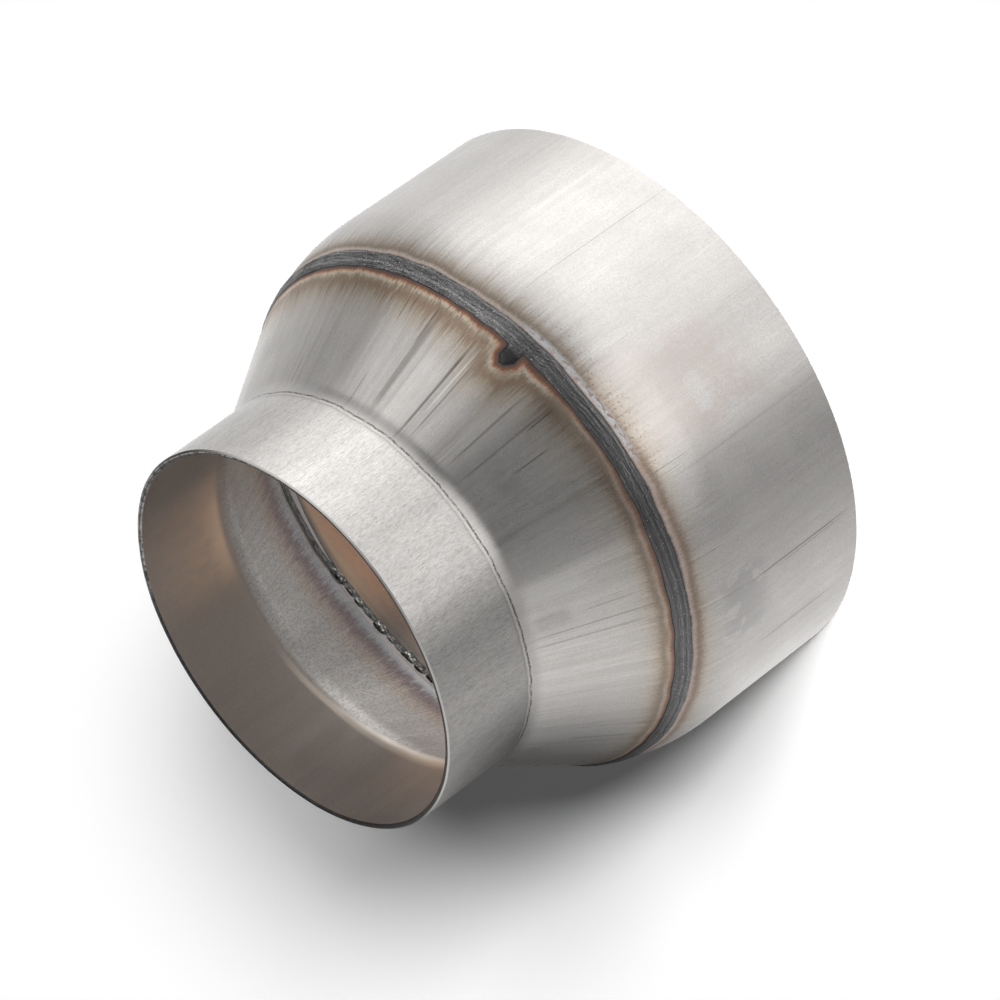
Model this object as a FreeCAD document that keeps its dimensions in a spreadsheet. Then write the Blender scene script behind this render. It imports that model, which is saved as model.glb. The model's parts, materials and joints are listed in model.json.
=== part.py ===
"""Exhaust pipe reducer: a swaged small tube, butt-welded to a large tube with a drawn-in end.

The reducer stands on the rim of its large end. The origin is the centre of that rim, and +Z runs
along the tubes' axis towards the small end. Lengths are in millimetres and angles in degrees.
"""
import FreeCAD, Part
import math
import os

import Sketcher
from FreeCAD import Vector

# Driving dimensions. Diameters, radii and widths of the tubes are those of the outer skin.
SIZES = {
    "small_tube_diameter": 88.9,
    "large_tube_diameter": 127.0,
    "wall": 1.2,
    "small_collar_length": 23.0,
    "large_collar_length": 34.4,
    "neck_radius": 4.6,
    "cone_half_angle": 31.0,
    "shoulder_radius": 36.8,
    "rim_chamfer": 0.3,
    "weld_from_cone": 4.3,
    "root_gap": 1.6,
    "cap_width": 4.6,
    "cap_height": 0.35,
    "root_width": 2.6,
    "root_height": 0.6,
    "lump_from_weld": 4.2,
    "lump_azimuth": -69.3,
    "lump_length": 5.4,
    "lump_width": 4.8,
    "lump_height": 0.6,
}

# A distance along the shoulder's outer skin becomes an angle about the shoulder's centre
TO_DEGREES = "180 / (pi * sizes.shoulder_radius)"

# Places that more than one piece shares
SMALL_RADIUS = "sizes.small_tube_diameter / 2"
LARGE_RADIUS = "sizes.large_tube_diameter / 2"
SHOULDER_X = "sizes.large_tube_diameter / 2 - sizes.shoulder_radius"
WELD_ANGLE = f"sizes.cone_half_angle - sizes.weld_from_cone * {TO_DEGREES}"
HALF_GAP_ANGLE = f"sizes.root_gap / 2 * {TO_DEGREES}"
SMALL_EDGE_ANGLE = f"{WELD_ANGLE} + {HALF_GAP_ANGLE}"
LARGE_EDGE_ANGLE = f"{WELD_ANGLE} - {HALF_GAP_ANGLE}"
RIM_CHAMFER = "min(sizes.rim_chamfer; 0.4 * sizes.wall)"

# The ends of a sketch edge, the centre of an arc, and the sketch's own origin and x axis
START = 1
END = 2
CENTRE = 3
ORIGIN = (-1, 1)
X_AXIS = -1

# Two heights within this count as one when an edge is looked for
SAME_HEIGHT = 0.001


def make_sheet(doc):
    """The spreadsheet that every size is bound to."""
    sheet = doc.addObject("Spreadsheet::Sheet", "sizes")
    for row, (name, value) in enumerate(SIZES.items(), start=1):
        sheet.set(f"A{row}", name)
        sheet.set(f"B{row}", str(value))
        sheet.setAlias(f"B{row}", name)
    doc.recompute()
    return sheet


def new_body(doc, name):
    """An empty body whose label names its file."""
    body = doc.addObject("PartDesign::Body", name)
    body.Label = name
    body.Placement = FreeCAD.Placement()
    return body


def half_section(body, name):
    """A sketch on the body's own XZ plane: x is the distance from the axis and y the height."""
    sketch = body.newObject("Sketcher::SketchObject", name)
    plane = next(item for item in body.Origin.OriginFeatures if item.Role == "XZ_Plane")
    sketch.AttachmentSupport = [(plane, "")]
    sketch.MapMode = "FlatFace"
    return sketch


def worth(sketch, expression):
    """What an expression over the sheet comes to, as a plain number."""
    return float(sketch.evalExpression(expression))


def polar(centre, radius, angle):
    """The point at a distance and an angle from a centre."""
    turn = math.radians(angle)
    return centre + Vector(radius * math.cos(turn), radius * math.sin(turn), 0)


def add_line(sketch, start, end, construction=False):
    return sketch.addGeometry(Part.LineSegment(start, end), construction)


def add_arc(sketch, centre, radius, first, last):
    """An arc that runs anticlockwise from the first angle to the last."""
    circle = Part.Circle(centre, Vector(0, 0, 1), radius)
    return sketch.addGeometry(Part.ArcOfCircle(circle, math.radians(first), math.radians(last)), False)


def tie(sketch, kind, *where):
    """A constraint with no size."""
    return sketch.addConstraint(Sketcher.Constraint(kind, *where))


def dimension(sketch, kind, *where, size):
    """A constraint whose size is an expression over the sheet."""
    value = worth(sketch, size)
    if kind == "Angle":
        value = math.radians(value)
    index = sketch.addConstraint(Sketcher.Constraint(kind, *where, value))
    sketch.setExpression(f"Constraints[{index}]", size)


def place_shoulder_centre(sketch, arc):
    """Puts an arc's centre where the shoulder turns: level with the large collar's upper end."""
    dimension(sketch, "DistanceX", *ORIGIN, arc, CENTRE, size=SHOULDER_X)
    dimension(sketch, "DistanceY", *ORIGIN, arc, CENTRE, size="sizes.large_collar_length")


def radial_edge(sketch, arc, line, angle):
    """Turns a line to an angle, in line with the arc's centre, as a square-cut edge of the wall."""
    tie(sketch, "PointOnObject", arc, CENTRE, line)
    dimension(sketch, "Angle", line, size=angle)


def draw_cone_wall(sketch, edge_angle, depth):
    """The small tube's wall in section, from the weld over the shoulder, cone and neck to the rim."""
    small_radius = worth(sketch, SMALL_RADIUS)
    neck_radius = worth(sketch, "sizes.neck_radius")
    shoulder_radius = worth(sketch, "sizes.shoulder_radius")
    cone_angle = worth(sketch, "sizes.cone_half_angle")
    wall = worth(sketch, depth)
    edge = worth(sketch, edge_angle)
    shoulder = Vector(worth(sketch, SHOULDER_X), worth(sketch, "sizes.large_collar_length"), 0)

    # The cone's skin is tangent to the shoulder and meets the neck's arc beside the small tube
    cone_low = polar(shoulder, shoulder_radius, cone_angle)
    lean = math.radians(cone_angle)
    neck_bulge = neck_radius * (1 - math.cos(lean))
    cone_slant = (cone_low.x - small_radius - neck_bulge) / math.sin(lean)
    cone_high = cone_low + Vector(-math.sin(lean), math.cos(lean), 0) * cone_slant
    neck_height = cone_high.y + neck_radius * math.sin(lean)
    neck = Vector(small_radius + neck_radius, neck_height, 0)
    rim_height = neck_height + worth(sketch, "sizes.small_collar_length")
    inwards = Vector(-math.cos(lean), -math.sin(lean), 0) * wall
    inner_radius = small_radius - wall

    collar_out = add_line(sketch, Vector(small_radius, neck_height, 0), Vector(small_radius, rim_height, 0))
    neck_out = add_arc(sketch, neck, neck_radius, 180, 180 + cone_angle)
    cone_out = add_line(sketch, cone_low, cone_high)
    shoulder_out = add_arc(sketch, shoulder, shoulder_radius, edge, cone_angle)
    weld_edge = add_line(
        sketch,
        polar(shoulder, shoulder_radius - wall, edge),
        polar(shoulder, shoulder_radius, edge),
    )
    shoulder_in = add_arc(sketch, shoulder, shoulder_radius - wall, edge, cone_angle)
    cone_in = add_line(sketch, cone_low + inwards, cone_high + inwards)
    neck_in = add_arc(sketch, neck, neck_radius + wall, 180, 180 + cone_angle)
    collar_in = add_line(sketch, Vector(inner_radius, neck_height, 0), Vector(inner_radius, rim_height, 0))
    rim = add_line(sketch, Vector(inner_radius, rim_height, 0), Vector(small_radius, rim_height, 0))

    tie(sketch, "Tangent", collar_out, START, neck_out, START)
    tie(sketch, "Tangent", neck_out, END, cone_out, END)
    tie(sketch, "Tangent", cone_out, START, shoulder_out, END)
    tie(sketch, "Coincident", shoulder_out, START, weld_edge, END)
    tie(sketch, "Coincident", weld_edge, START, shoulder_in, START)
    tie(sketch, "Coincident", shoulder_out, CENTRE, shoulder_in, CENTRE)
    tie(sketch, "Tangent", shoulder_in, END, cone_in, START)
    tie(sketch, "Tangent", cone_in, END, neck_in, END)
    tie(sketch, "Coincident", neck_out, CENTRE, neck_in, CENTRE)
    tie(sketch, "Tangent", neck_in, START, collar_in, START)
    tie(sketch, "Coincident", collar_in, END, rim, START)
    tie(sketch, "Coincident", rim, END, collar_out, END)
    tie(sketch, "Vertical", collar_out)
    tie(sketch, "Vertical", collar_in)
    tie(sketch, "Horizontal", rim)

    place_shoulder_centre(sketch, shoulder_out)
    radial_edge(sketch, shoulder_out, weld_edge, edge_angle)
    dimension(sketch, "DistanceX", *ORIGIN, rim, END, size=SMALL_RADIUS)
    dimension(sketch, "DistanceY", collar_out, START, collar_out, END, size="sizes.small_collar_length")
    dimension(sketch, "Radius", neck_out, size="sizes.neck_radius")
    dimension(sketch, "Radius", neck_in, size=f"sizes.neck_radius + {depth}")
    dimension(sketch, "Radius", shoulder_out, size="sizes.shoulder_radius")
    dimension(sketch, "Radius", shoulder_in, size=f"sizes.shoulder_radius - ({depth})")
    dimension(sketch, "Angle", cone_out, size="90 + sizes.cone_half_angle")


def draw_collar_wall(sketch):
    """The large end's wall in section, from its rim up the collar and in over the shoulder to the weld."""
    large_radius = worth(sketch, LARGE_RADIUS)
    shoulder_radius = worth(sketch, "sizes.shoulder_radius")
    collar_top = worth(sketch, "sizes.large_collar_length")
    wall = worth(sketch, "sizes.wall")
    edge = worth(sketch, LARGE_EDGE_ANGLE)
    shoulder = Vector(large_radius - shoulder_radius, collar_top, 0)
    inner_radius = large_radius - wall

    collar_out = add_line(sketch, Vector(large_radius, 0, 0), Vector(large_radius, collar_top, 0))
    shoulder_out = add_arc(sketch, shoulder, shoulder_radius, 0, edge)
    weld_edge = add_line(
        sketch,
        polar(shoulder, shoulder_radius - wall, edge),
        polar(shoulder, shoulder_radius, edge),
    )
    shoulder_in = add_arc(sketch, shoulder, shoulder_radius - wall, 0, edge)
    collar_in = add_line(sketch, Vector(inner_radius, 0, 0), Vector(inner_radius, collar_top, 0))
    rim = add_line(sketch, Vector(inner_radius, 0, 0), Vector(large_radius, 0, 0))

    tie(sketch, "Tangent", collar_out, END, shoulder_out, START)
    tie(sketch, "Coincident", shoulder_out, END, weld_edge, END)
    tie(sketch, "Coincident", weld_edge, START, shoulder_in, END)
    tie(sketch, "Coincident", shoulder_out, CENTRE, shoulder_in, CENTRE)
    tie(sketch, "Tangent", shoulder_in, START, collar_in, END)
    tie(sketch, "Coincident", collar_in, START, rim, START)
    tie(sketch, "Coincident", rim, END, collar_out, START)
    tie(sketch, "Vertical", collar_out)
    tie(sketch, "Vertical", collar_in)
    tie(sketch, "PointOnObject", rim, START, X_AXIS)
    tie(sketch, "PointOnObject", rim, END, X_AXIS)

    radial_edge(sketch, shoulder_out, weld_edge, LARGE_EDGE_ANGLE)
    dimension(sketch, "DistanceX", *ORIGIN, rim, END, size=LARGE_RADIUS)
    dimension(sketch, "DistanceY", collar_out, START, collar_out, END, size="sizes.large_collar_length")
    dimension(sketch, "Radius", shoulder_out, size="sizes.shoulder_radius")
    dimension(sketch, "Radius", shoulder_in, size="sizes.shoulder_radius - sizes.wall")


def crown_arc(sketch, centre, seat_radius, crown_radius, width, angle):
    """An arc over a round seat: both ends are on the seat, a chord's width apart, and its crown off it."""
    reach = width / 2
    chord_radius = math.sqrt(seat_radius**2 - reach**2)
    rise = crown_radius - chord_radius
    bend_radius = (reach**2 + rise**2) / (2 * abs(rise))
    if rise > 0:
        bend_centre = crown_radius - bend_radius
        facing = angle
    else:
        bend_centre = crown_radius + bend_radius
        facing = angle + 180
    spread = math.degrees(math.atan2(reach, abs(chord_radius - bend_centre)))
    return add_arc(sketch, polar(centre, bend_centre, angle), bend_radius, facing - spread, facing + spread)


def draw_weld(sketch):
    """The weld in section: metal through the gap, a cap on the outer skin and a root bead on the inner."""
    outer = worth(sketch, "sizes.shoulder_radius")
    inner = outer - worth(sketch, "sizes.wall")
    middle = worth(sketch, WELD_ANGLE)
    small_edge = worth(sketch, SMALL_EDGE_ANGLE)
    large_edge = worth(sketch, LARGE_EDGE_ANGLE)
    cap_crown = outer + worth(sketch, "sizes.cap_height")
    root_crown = inner - worth(sketch, "sizes.root_height")
    cap_width = worth(sketch, "sizes.cap_width")
    root_width = worth(sketch, "sizes.root_width")
    half_cap = math.degrees(math.asin(cap_width / 2 / outer))
    half_root = math.degrees(math.asin(root_width / 2 / inner))
    centre = Vector(worth(sketch, SHOULDER_X), worth(sketch, "sizes.large_collar_length"), 0)

    spine = add_line(sketch, centre, polar(centre, cap_crown, middle), construction=True)
    root_point = sketch.addGeometry(Part.Point(polar(centre, root_crown, middle)), True)
    cap = crown_arc(sketch, centre, outer, cap_crown, cap_width, middle)
    root = crown_arc(sketch, centre, inner, root_crown, root_width, middle)
    cap_seat_small = add_arc(sketch, centre, outer, small_edge, middle + half_cap)
    cap_seat_large = add_arc(sketch, centre, outer, middle - half_cap, large_edge)
    root_seat_small = add_arc(sketch, centre, inner, small_edge, middle + half_root)
    root_seat_large = add_arc(sketch, centre, inner, middle - half_root, large_edge)
    face_small = add_line(sketch, polar(centre, inner, small_edge), polar(centre, outer, small_edge))
    face_large = add_line(sketch, polar(centre, inner, large_edge), polar(centre, outer, large_edge))

    for arc in (cap_seat_large, root_seat_small, root_seat_large):
        tie(sketch, "Coincident", cap_seat_small, CENTRE, arc, CENTRE)
    tie(sketch, "Coincident", cap_seat_small, CENTRE, spine, START)
    tie(sketch, "Coincident", cap, END, cap_seat_small, END)
    tie(sketch, "Coincident", cap_seat_small, START, face_small, END)
    tie(sketch, "Coincident", face_small, START, root_seat_small, START)
    tie(sketch, "Coincident", root_seat_small, END, root, START)
    tie(sketch, "Coincident", root, END, root_seat_large, START)
    tie(sketch, "Coincident", root_seat_large, END, face_large, START)
    tie(sketch, "Coincident", face_large, END, cap_seat_large, END)
    tie(sketch, "Coincident", cap_seat_large, START, cap, START)
    tie(sketch, "PointOnObject", cap, CENTRE, spine)
    tie(sketch, "PointOnObject", root, CENTRE, spine)
    tie(sketch, "PointOnObject", spine, END, cap)
    tie(sketch, "PointOnObject", root_point, START, spine)
    tie(sketch, "PointOnObject", root_point, START, root)

    place_shoulder_centre(sketch, cap_seat_small)
    radial_edge(sketch, cap_seat_small, face_small, SMALL_EDGE_ANGLE)
    radial_edge(sketch, cap_seat_small, face_large, LARGE_EDGE_ANGLE)
    dimension(sketch, "Angle", spine, size=WELD_ANGLE)
    dimension(sketch, "Distance", spine, size="sizes.shoulder_radius + sizes.cap_height")
    dimension(
        sketch, "Distance", spine, START, root_point, START,
        size="sizes.shoulder_radius - sizes.wall - sizes.root_height",
    )
    for arc in (cap_seat_small, cap_seat_large):
        dimension(sketch, "Radius", arc, size="sizes.shoulder_radius")
    for arc in (root_seat_small, root_seat_large):
        dimension(sketch, "Radius", arc, size="sizes.shoulder_radius - sizes.wall")
    dimension(sketch, "Distance", cap, START, cap, END, size="sizes.cap_width")
    dimension(sketch, "Distance", root, START, root, END, size="sizes.root_width")


def turn_round_axis(body, kind, name, sketch):
    """Revolves a half section once round the tubes' axis, to add metal or to cut it away."""
    feature = body.newObject(f"PartDesign::{kind}", name)
    feature.Profile = sketch
    feature.ReferenceAxis = (sketch, ["V_Axis"])
    feature.Angle = 360.0
    sketch.Visibility = False
    return feature


def break_rim(body, name, height):
    """Chamfers both sharp edges of the rim at a height, as a deburred tube end is."""
    turned = body.Tip
    edges = []
    for index, edge in enumerate(turned.Shape.Edges, start=1):
        if all(abs(vertex.Z - height) < SAME_HEIGHT for vertex in edge.Vertexes):
            edges.append(f"Edge{index}")
    chamfer = body.newObject("PartDesign::Chamfer", name)
    chamfer.Base = (turned, edges)
    chamfer.setExpression("Size", RIM_CHAMFER)


def make_small_end_cone(doc):
    """The small tube: its end is swaged open through a tight neck into the cone."""
    body = new_body(doc, "small_end_cone")
    section = half_section(body, "small_end_section")
    draw_cone_wall(section, SMALL_EDGE_ANGLE, "sizes.wall")
    turn_round_axis(body, "Revolution", "small_end_turned", section)
    doc.recompute()
    rim_height = max(vertex.Z for vertex in body.Tip.Shape.Vertexes)
    break_rim(body, "small_rim_chamfer", rim_height)
    return body


def make_large_end_collar(doc):
    """The large tube: its end is drawn in over the round shoulder."""
    body = new_body(doc, "large_end_collar")
    section = half_section(body, "large_end_section")
    draw_collar_wall(section)
    turn_round_axis(body, "Revolution", "large_end_turned", section)
    doc.recompute()
    break_rim(body, "large_rim_chamfer", 0)
    return body


def add_tack_lump(body):
    """A domed lump on the cone side of the cap, where the weld was tacked and the torch stopped."""
    angle = f"({WELD_ANGLE} + sizes.lump_from_weld * {TO_DEGREES})"
    reach = f"({SHOULDER_X} + sizes.shoulder_radius * cos({angle}))"
    height = f"sizes.large_collar_length + sizes.shoulder_radius * sin({angle})"
    lump = body.newObject("PartDesign::AdditiveEllipsoid", "tack_lump")
    lump.setExpression("Radius1", "sizes.lump_height")
    lump.setExpression("Radius2", "sizes.lump_length / 2")
    lump.setExpression("Radius3", "sizes.lump_width / 2")
    lump.setExpression("Placement.Base.x", f"{reach} * cos(sizes.lump_azimuth)")
    lump.setExpression("Placement.Base.y", f"{reach} * sin(sizes.lump_azimuth)")
    lump.setExpression("Placement.Base.z", height)
    lump.setExpression("Placement.Rotation.Yaw", "sizes.lump_azimuth")
    lump.setExpression("Placement.Rotation.Pitch", f"90 - {angle}")


def make_weld_bead(doc):
    """The weld: the tack lump cut off at the tubes' skin, and the ring that joins both edges."""
    body = new_body(doc, "weld_bead")
    add_tack_lump(body)
    skin = half_section(body, "skin_section")
    lump_depth = "(sizes.wall + sizes.lump_height)"
    draw_cone_wall(skin, f"{WELD_ANGLE} - sizes.lump_length * {TO_DEGREES}", lump_depth)
    turn_round_axis(body, "Groove", "lump_seat", skin)
    section = half_section(body, "weld_section")
    draw_weld(section)
    turn_round_axis(body, "Revolution", "weld_ring", section)
    return body


def check(doc, bodies):
    """Stops before anything is written if a feature failed or a shape isn't sound."""
    for item in doc.Objects:
        if "Invalid" in item.State or "Error" in item.State:
            raise RuntimeError(f"{item.Name} failed: {item.State}")
        if item.TypeId == "Sketcher::SketchObject" and item.solve() != 0:
            raise RuntimeError(f"{item.Name} has constraints that don't agree")
    for body in bodies:
        if body.Shape.isNull() or not body.Shape.isValid() or len(body.Shape.Solids) != 1:
            raise RuntimeError(f"{body.Label} isn't one sound solid")


def main():
    doc = FreeCAD.newDocument("exhaust_pipe_reducer")
    make_sheet(doc)
    bodies = [make_small_end_cone(doc), make_large_end_collar(doc), make_weld_bead(doc)]
    doc.recompute()
    check(doc, bodies)
    os.makedirs("parts", exist_ok=True)
    for body in bodies:
        body.Shape.exportStep(f"parts/{body.Label}.step")
        print(f"{body.Label}: {body.Shape.Volume:.1f} mm3")


main()
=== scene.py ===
"""Looks of the exhaust pipe reducer: drawn and handled steel tubes, heat tint, and the dark weld."""

import json
import math

import bpy
import numpy as np
from mathutils import Matrix, Vector


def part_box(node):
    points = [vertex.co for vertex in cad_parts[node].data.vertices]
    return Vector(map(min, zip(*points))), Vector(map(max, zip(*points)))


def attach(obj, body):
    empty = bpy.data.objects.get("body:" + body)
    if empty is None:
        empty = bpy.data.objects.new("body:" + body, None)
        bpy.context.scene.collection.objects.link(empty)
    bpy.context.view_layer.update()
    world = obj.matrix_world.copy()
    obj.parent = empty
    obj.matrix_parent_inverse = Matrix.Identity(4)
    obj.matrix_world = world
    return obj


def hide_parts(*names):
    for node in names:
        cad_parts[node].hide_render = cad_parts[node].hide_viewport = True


MM = 0.001

# The part's own sizes, in metres and radians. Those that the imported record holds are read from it.
# The neck turns more softly here than in the solids, round the same corner.
CONE_ANGLE = math.radians(31.0)
NECK_RADIUS = 9.0 * MM
SHOULDER_RADIUS = 36.8 * MM
LARGE_COLLAR = 34.4 * MM
SMALL_COLLAR = 21.78 * MM
WELD_FROM_CONE = 4.3 * MM
RIM_BREAK = 0.3 * MM
ROOT_GAP = 1.6 * MM

# The camera, in the row frame
CAMERA_PLACE = Vector((-0.001713, -0.998004, 0.651682))
CAMERA_TILT = math.radians(58.53)
CAMERA_ROLL = math.radians(-125.97)
CAMERA_LENS = 203.94

# The photograph's table lies against the shoulder and the small rim; this is its upward normal
TABLE_UP = Vector((0.764, -0.571, -0.300)).normalized()

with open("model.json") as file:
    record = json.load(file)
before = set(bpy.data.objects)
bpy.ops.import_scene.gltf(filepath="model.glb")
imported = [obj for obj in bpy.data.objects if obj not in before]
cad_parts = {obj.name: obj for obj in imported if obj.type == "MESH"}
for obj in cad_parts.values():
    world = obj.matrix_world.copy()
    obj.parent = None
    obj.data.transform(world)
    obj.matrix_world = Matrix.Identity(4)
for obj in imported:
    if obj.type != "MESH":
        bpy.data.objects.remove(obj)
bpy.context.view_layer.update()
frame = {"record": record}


def mount_radius(name):
    """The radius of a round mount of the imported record, in metres."""
    mount = next(item for item in frame["record"]["mounts"] if item["name"] == name)
    return mount["dims"]["r_mm"] * MM


SMALL_RADIUS = mount_radius("small_outside")
LARGE_RADIUS = mount_radius("large_outside")
WALL = LARGE_RADIUS - mount_radius("large_bore")

# Places along the outer skin, measured from the weld's middle and positive towards the small end
SHOULDER_CENTRE = (LARGE_RADIUS - SHOULDER_RADIUS, LARGE_COLLAR)
WELD_ANGLE = CONE_ANGLE - WELD_FROM_CONE / SHOULDER_RADIUS
CONE_SLANT = (
    LARGE_RADIUS - SMALL_RADIUS - (SHOULDER_RADIUS + NECK_RADIUS) * (1 - math.cos(CONE_ANGLE))
) / math.sin(CONE_ANGLE)
AT_SHOULDER = -WELD_ANGLE * SHOULDER_RADIUS
AT_LARGE_RIM = AT_SHOULDER - LARGE_COLLAR
AT_CONE = WELD_FROM_CONE
AT_NECK = AT_CONE + CONE_SLANT
AT_COLLAR = AT_NECK + NECK_RADIUS * CONE_ANGLE
AT_SMALL_RIM = AT_COLLAR + SMALL_COLLAR


def skin(along, depth):
    """Radius and height of the wall at places along it, a depth under the outer skin."""
    before = [along < AT_SHOULDER, along < AT_CONE, along < AT_NECK, along < AT_COLLAR]
    on_shoulder = WELD_ANGLE + along / SHOULDER_RADIUS
    in_neck = CONE_ANGLE - (along - AT_NECK) / NECK_RADIUS
    slope = np.select(before, [0.0, on_shoulder, CONE_ANGLE, in_neck], 0.0)
    cone_r = SHOULDER_CENTRE[0] + SHOULDER_RADIUS * math.cos(CONE_ANGLE)
    cone_z = SHOULDER_CENTRE[1] + SHOULDER_RADIUS * math.sin(CONE_ANGLE)
    neck_z = cone_z + CONE_SLANT * math.cos(CONE_ANGLE) + NECK_RADIUS * math.sin(CONE_ANGLE)
    up_cone = along - AT_CONE
    radii = [
        LARGE_RADIUS,
        SHOULDER_CENTRE[0] + SHOULDER_RADIUS * np.cos(slope),
        cone_r - up_cone * math.sin(CONE_ANGLE),
        SMALL_RADIUS + NECK_RADIUS * (1 - np.cos(slope)),
    ]
    heights = [
        LARGE_COLLAR + along - AT_SHOULDER,
        SHOULDER_CENTRE[1] + SHOULDER_RADIUS * np.sin(slope),
        cone_z + up_cone * math.cos(CONE_ANGLE),
        neck_z - NECK_RADIUS * np.sin(slope),
    ]
    radius = np.select(before, radii, SMALL_RADIUS)
    height = np.select(before, heights, neck_z + along - AT_COLLAR)
    return radius - depth * np.cos(slope), height - depth * np.sin(slope)


def ripple(rng, lowest, highest, count):
    """A smooth random wave round the axis, about -1 to 1, that closes on itself: a function of azimuth."""
    turns = rng.integers(lowest, highest + 1, count)
    starts = rng.uniform(0, 2 * math.pi, count)

    def wave(azimuth):
        return np.sin(azimuth[..., None] * turns + starts).sum(-1) / math.sqrt(count / 2)

    return wave


def turn_from(azimuth, middle):
    """How far round the axis an azimuth is from another, from -pi to pi."""
    return np.angle(np.exp(1j * (azimuth - middle)))


# The weld: cap, the tack lump that stands out of its edge on the cone side, and root bead
CAP_HALF = 1.89 * MM
CAP_CROWN = 0.34 * MM
CAP_WAVER = 0.09 * MM
CAP_SWAY = 0.29 * MM
CAP_SWAY_TURN = math.radians(45)
LUMP_AZIMUTH = math.radians(-69.8)
LUMP_ROUND = 58.6 * MM
LUMP_HALF = 1.85 * MM
LUMP_REACH = 4.2 * MM
LUMP_SHOULDER = 2.7 * MM
LUMP_SLANT = math.radians(50)
LUMP_RISE = 0.20 * MM
LUMP_LEAST = 0.02 * MM
CAP_ROUNDING = 1.0 * MM
CAP_SUNK = 0.05 * MM
ROOT_THIN = 0.95 * MM
ROOT_WIDE = 1.1 * MM
ROOT_WAVER = 0.2
DROP_LEAN = 0.25 * MM
DROP_SWELL = 0.55 * MM
DROP_LEAST = 0.16
DROP_MORE = 0.60
ROOT_LIFT = 0.03 * MM
ROOT_TUCK = 0.08 * MM

# The cap's ridges along the weld: spacing and depth in millimetres
CAP_RIDGES = [(0.78, 0.032), (0.45, 0.026), (0.28, 0.014)]
RIDGE_DRIFT = 2.6

# Where the root bead runs: azimuth in degrees and millimetres along the skin
ROOT_PLACES = [
    (-70, 0.0), (0, 0.5), (40, 1.7), (70, 1.9), (82, 0.4), (92, -1.1), (104, -1.5), (112, -1.9),
    (132, -0.7),
]


class WeldLine:
    """Where the weld runs round the axis. Its own mesh and the heat tint of the walls both follow it."""

    def __init__(self, rng):
        self.low_wave = ripple(rng, 3, 40, 14)
        self.high_wave = ripple(rng, 3, 60, 18)
        self.root_wave = ripple(rng, 6, 30, 12)

    def middle(self, azimuth):
        return CAP_SWAY * np.cos(2 * (azimuth + CAP_SWAY_TURN))

    def low_edge(self, azimuth):
        return self.middle(azimuth) - CAP_HALF - CAP_WAVER * self.low_wave(azimuth)

    def high_edge(self, azimuth):
        return self.middle(azimuth) + CAP_HALF + CAP_WAVER * self.high_wave(azimuth)

    def root(self, azimuth):
        degrees, places = zip(*ROOT_PLACES)
        wander = np.interp(np.degrees(azimuth), degrees, places, period=360)
        return (wander + ROOT_WAVER * self.root_wave(azimuth)) * MM

    def beside_lump(self, azimuth):
        """How far round the axis a place is from the lump's flank."""
        return np.abs(turn_from(azimuth, LUMP_AZIMUTH)) * LUMP_ROUND - LUMP_HALF

    def past_lump(self, azimuth, past_band):
        """Distance from the lump's outline, a blunt wedge that stands on the cap's edge."""
        beside = self.beside_lump(azimuth)
        slant = beside * math.sin(LUMP_SLANT) + (past_band - LUMP_SHOULDER) * math.cos(LUMP_SLANT)
        return np.maximum(np.maximum(beside, past_band - LUMP_REACH), slant)

    def past_cap(self, azimuth, along):
        """Distance from the cap's outline along the outer skin, the lump's outline included."""
        past_band = along - self.high_edge(azimuth)
        on_cone = along > self.middle(azimuth)
        outer = np.minimum(past_band, self.past_lump(azimuth, past_band))
        return np.where(on_cone, outer, self.low_edge(azimuth) - along)

    def lump_reach(self, azimuth):
        """How far the lump stands out of the band."""
        beside = self.beside_lump(azimuth)
        slanted = LUMP_SHOULDER - beside * math.tan(LUMP_SLANT)
        return np.where(beside < 0, np.minimum(slanted, LUMP_REACH), 0.0)


def add_object(name, data):
    made = bpy.data.objects.new(name, data)
    bpy.context.scene.collection.objects.link(made)
    return made


def all_round(count):
    """So many azimuths round the axis, in a column."""
    return np.linspace(0, 2 * math.pi, count, endpoint=False)[:, None]


def ring_mesh(name, radius, height, along, edge, face_slots, sharp_rows):
    """A closed ring from arrays of (azimuth, loop point). Each face takes the slot of its loop point.

    Its points carry "lie", the cosine and sine of the azimuth and the metres along the skin, and "edge",
    the metres from the weld's outline or, on the weld's root and the cut rims, from the skin.
    """
    rounds, loop = radius.shape
    azimuth = all_round(rounds)
    lie_x = np.broadcast_to(np.cos(azimuth), radius.shape)
    lie_y = np.broadcast_to(np.sin(azimuth), radius.shape)
    places = np.stack([radius * lie_x, radius * lie_y, height], -1).reshape(-1, 3)
    lie = np.stack([lie_x, lie_y, np.broadcast_to(along, radius.shape)], -1).reshape(-1, 3)
    index = np.arange(rounds * loop).reshape(rounds, loop)
    beside = np.roll(index, -1, axis=0)
    faces = np.stack(
        [index, beside, np.roll(beside, -1, axis=1), np.roll(index, -1, axis=1)], -1
    ).reshape(-1, 4)
    mesh = bpy.data.meshes.new(name)
    mesh.from_pydata(places.tolist(), [], faces.tolist())
    carried = [("lie", "FLOAT_VECTOR", "vector", lie), ("edge", "FLOAT", "value", edge)]
    for key, kind, field, values in carried:
        attribute = mesh.attributes.new(key, kind, "POINT")
        attribute.data.foreach_set(field, values.astype(np.float32).ravel())
    slots = np.broadcast_to(np.asarray(face_slots, np.int32), (rounds, loop)).ravel()
    mesh.polygons.foreach_set("material_index", np.ascontiguousarray(slots))
    mesh.polygons.foreach_set("use_smooth", np.ones(rounds * loop, bool))
    mesh.update()
    if sharp_rows:
        ends = np.empty(len(mesh.edges) * 2, np.int32)
        mesh.edges.foreach_get("vertices", ends)
        rows = ends.reshape(-1, 2) % loop
        marks = (rows[:, 0] == rows[:, 1]) & np.isin(rows[:, 0], sharp_rows)
        mesh.attributes.new("sharp_edge", "BOOLEAN", "EDGE").data.foreach_set("value", marks)
    return add_object(name, mesh)


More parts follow.
